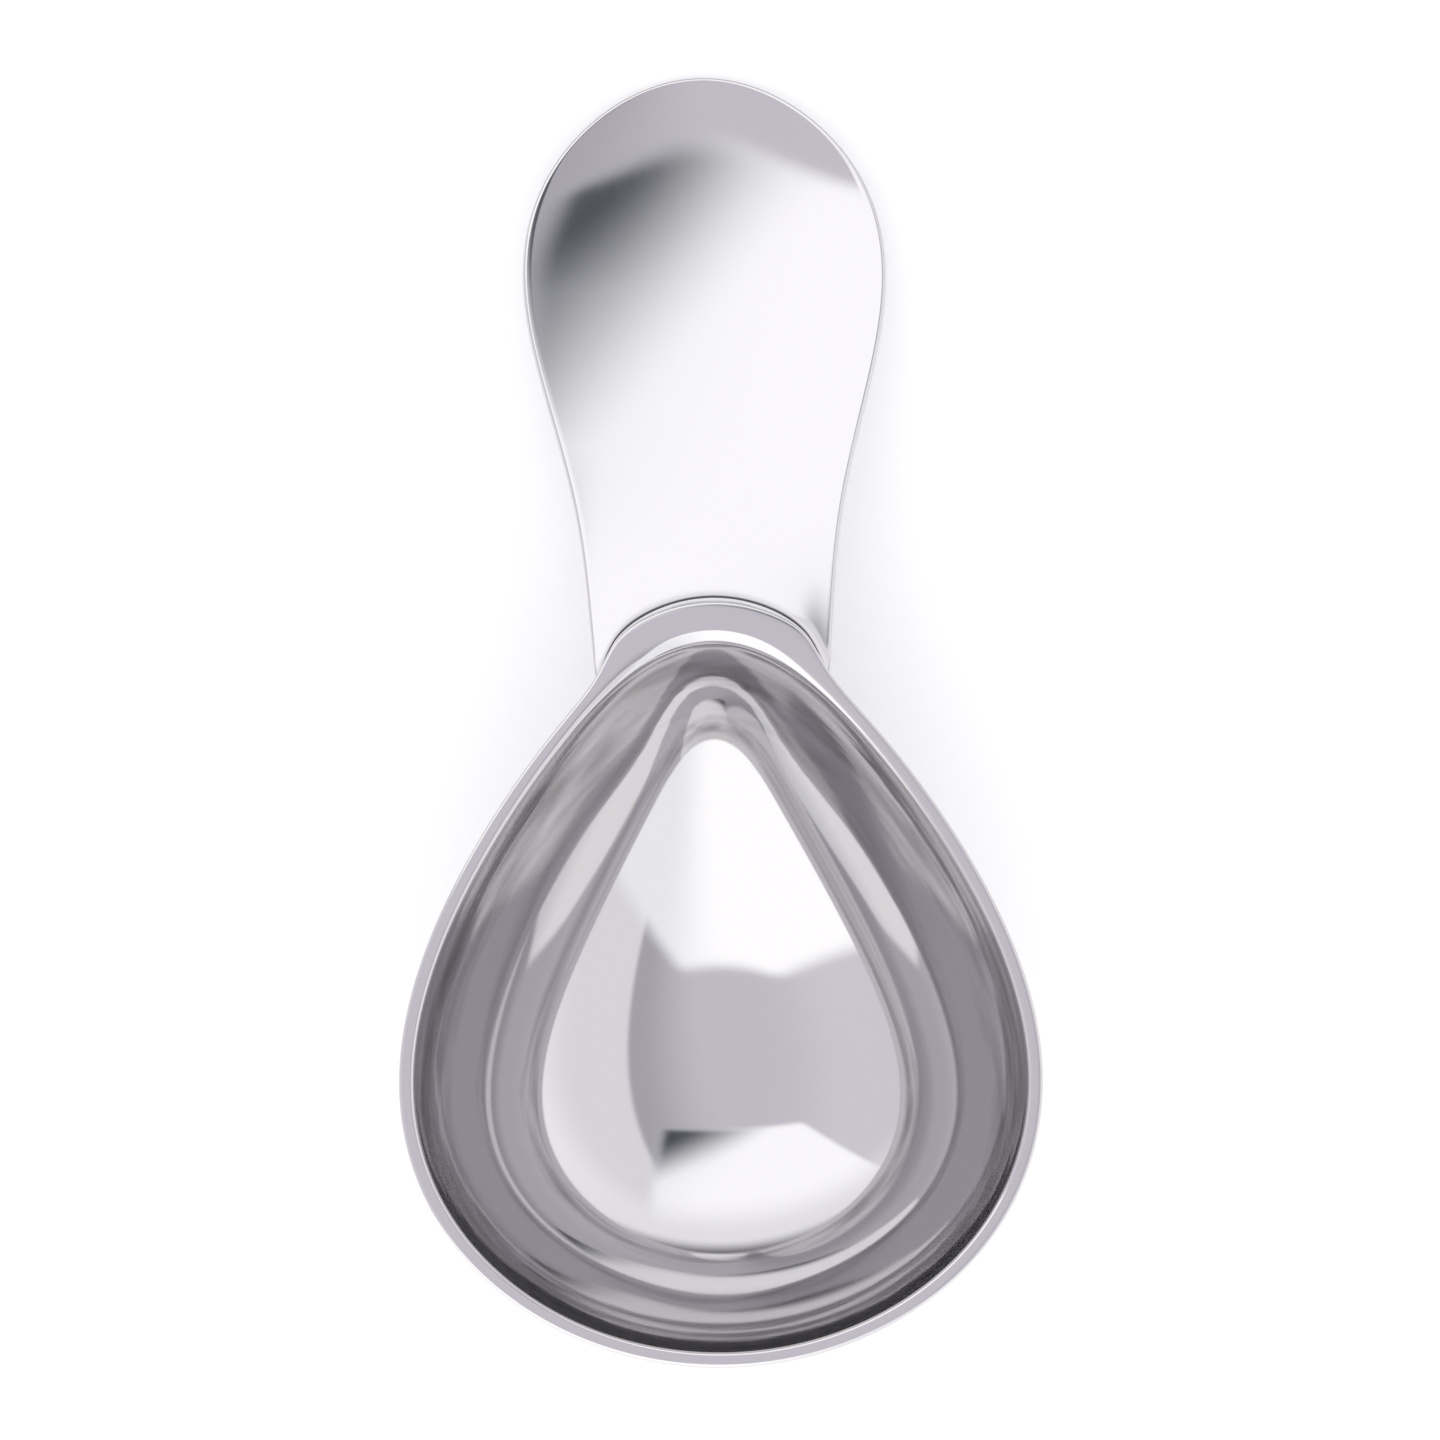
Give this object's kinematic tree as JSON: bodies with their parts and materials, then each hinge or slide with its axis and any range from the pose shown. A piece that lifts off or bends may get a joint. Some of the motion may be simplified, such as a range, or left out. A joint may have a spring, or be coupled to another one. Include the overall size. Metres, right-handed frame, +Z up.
{
  "type": "coffee scoop",
  "caption": "Short-handled measuring scoop of polished steel: a deep egg-shaped bowl with a flat land at its neck and a broad dished handle, leaning on its handle's tip",
  "frame": {"origin": "On the surface the scoop stands on, under the middle of its box", "axes": "+Y runs from the bowl to the handle, +Z is up, +X is to the right seen from above"},
  "size_m": [0.0526, 0.1072, 0.0274],
  "materials": {
    "bowl_steel": "mirror-polished stainless steel",
    "handle_steel": "polished stainless steel with faint lengthwise polishing lines",
    "weld_steel": "ground stainless weld, satin"
  },
  "bodies": {
    "root": {"bowl": "bowl_steel", "handle": "handle_steel", "weld_bead": "weld_steel"}
  },
  "joints": []
}
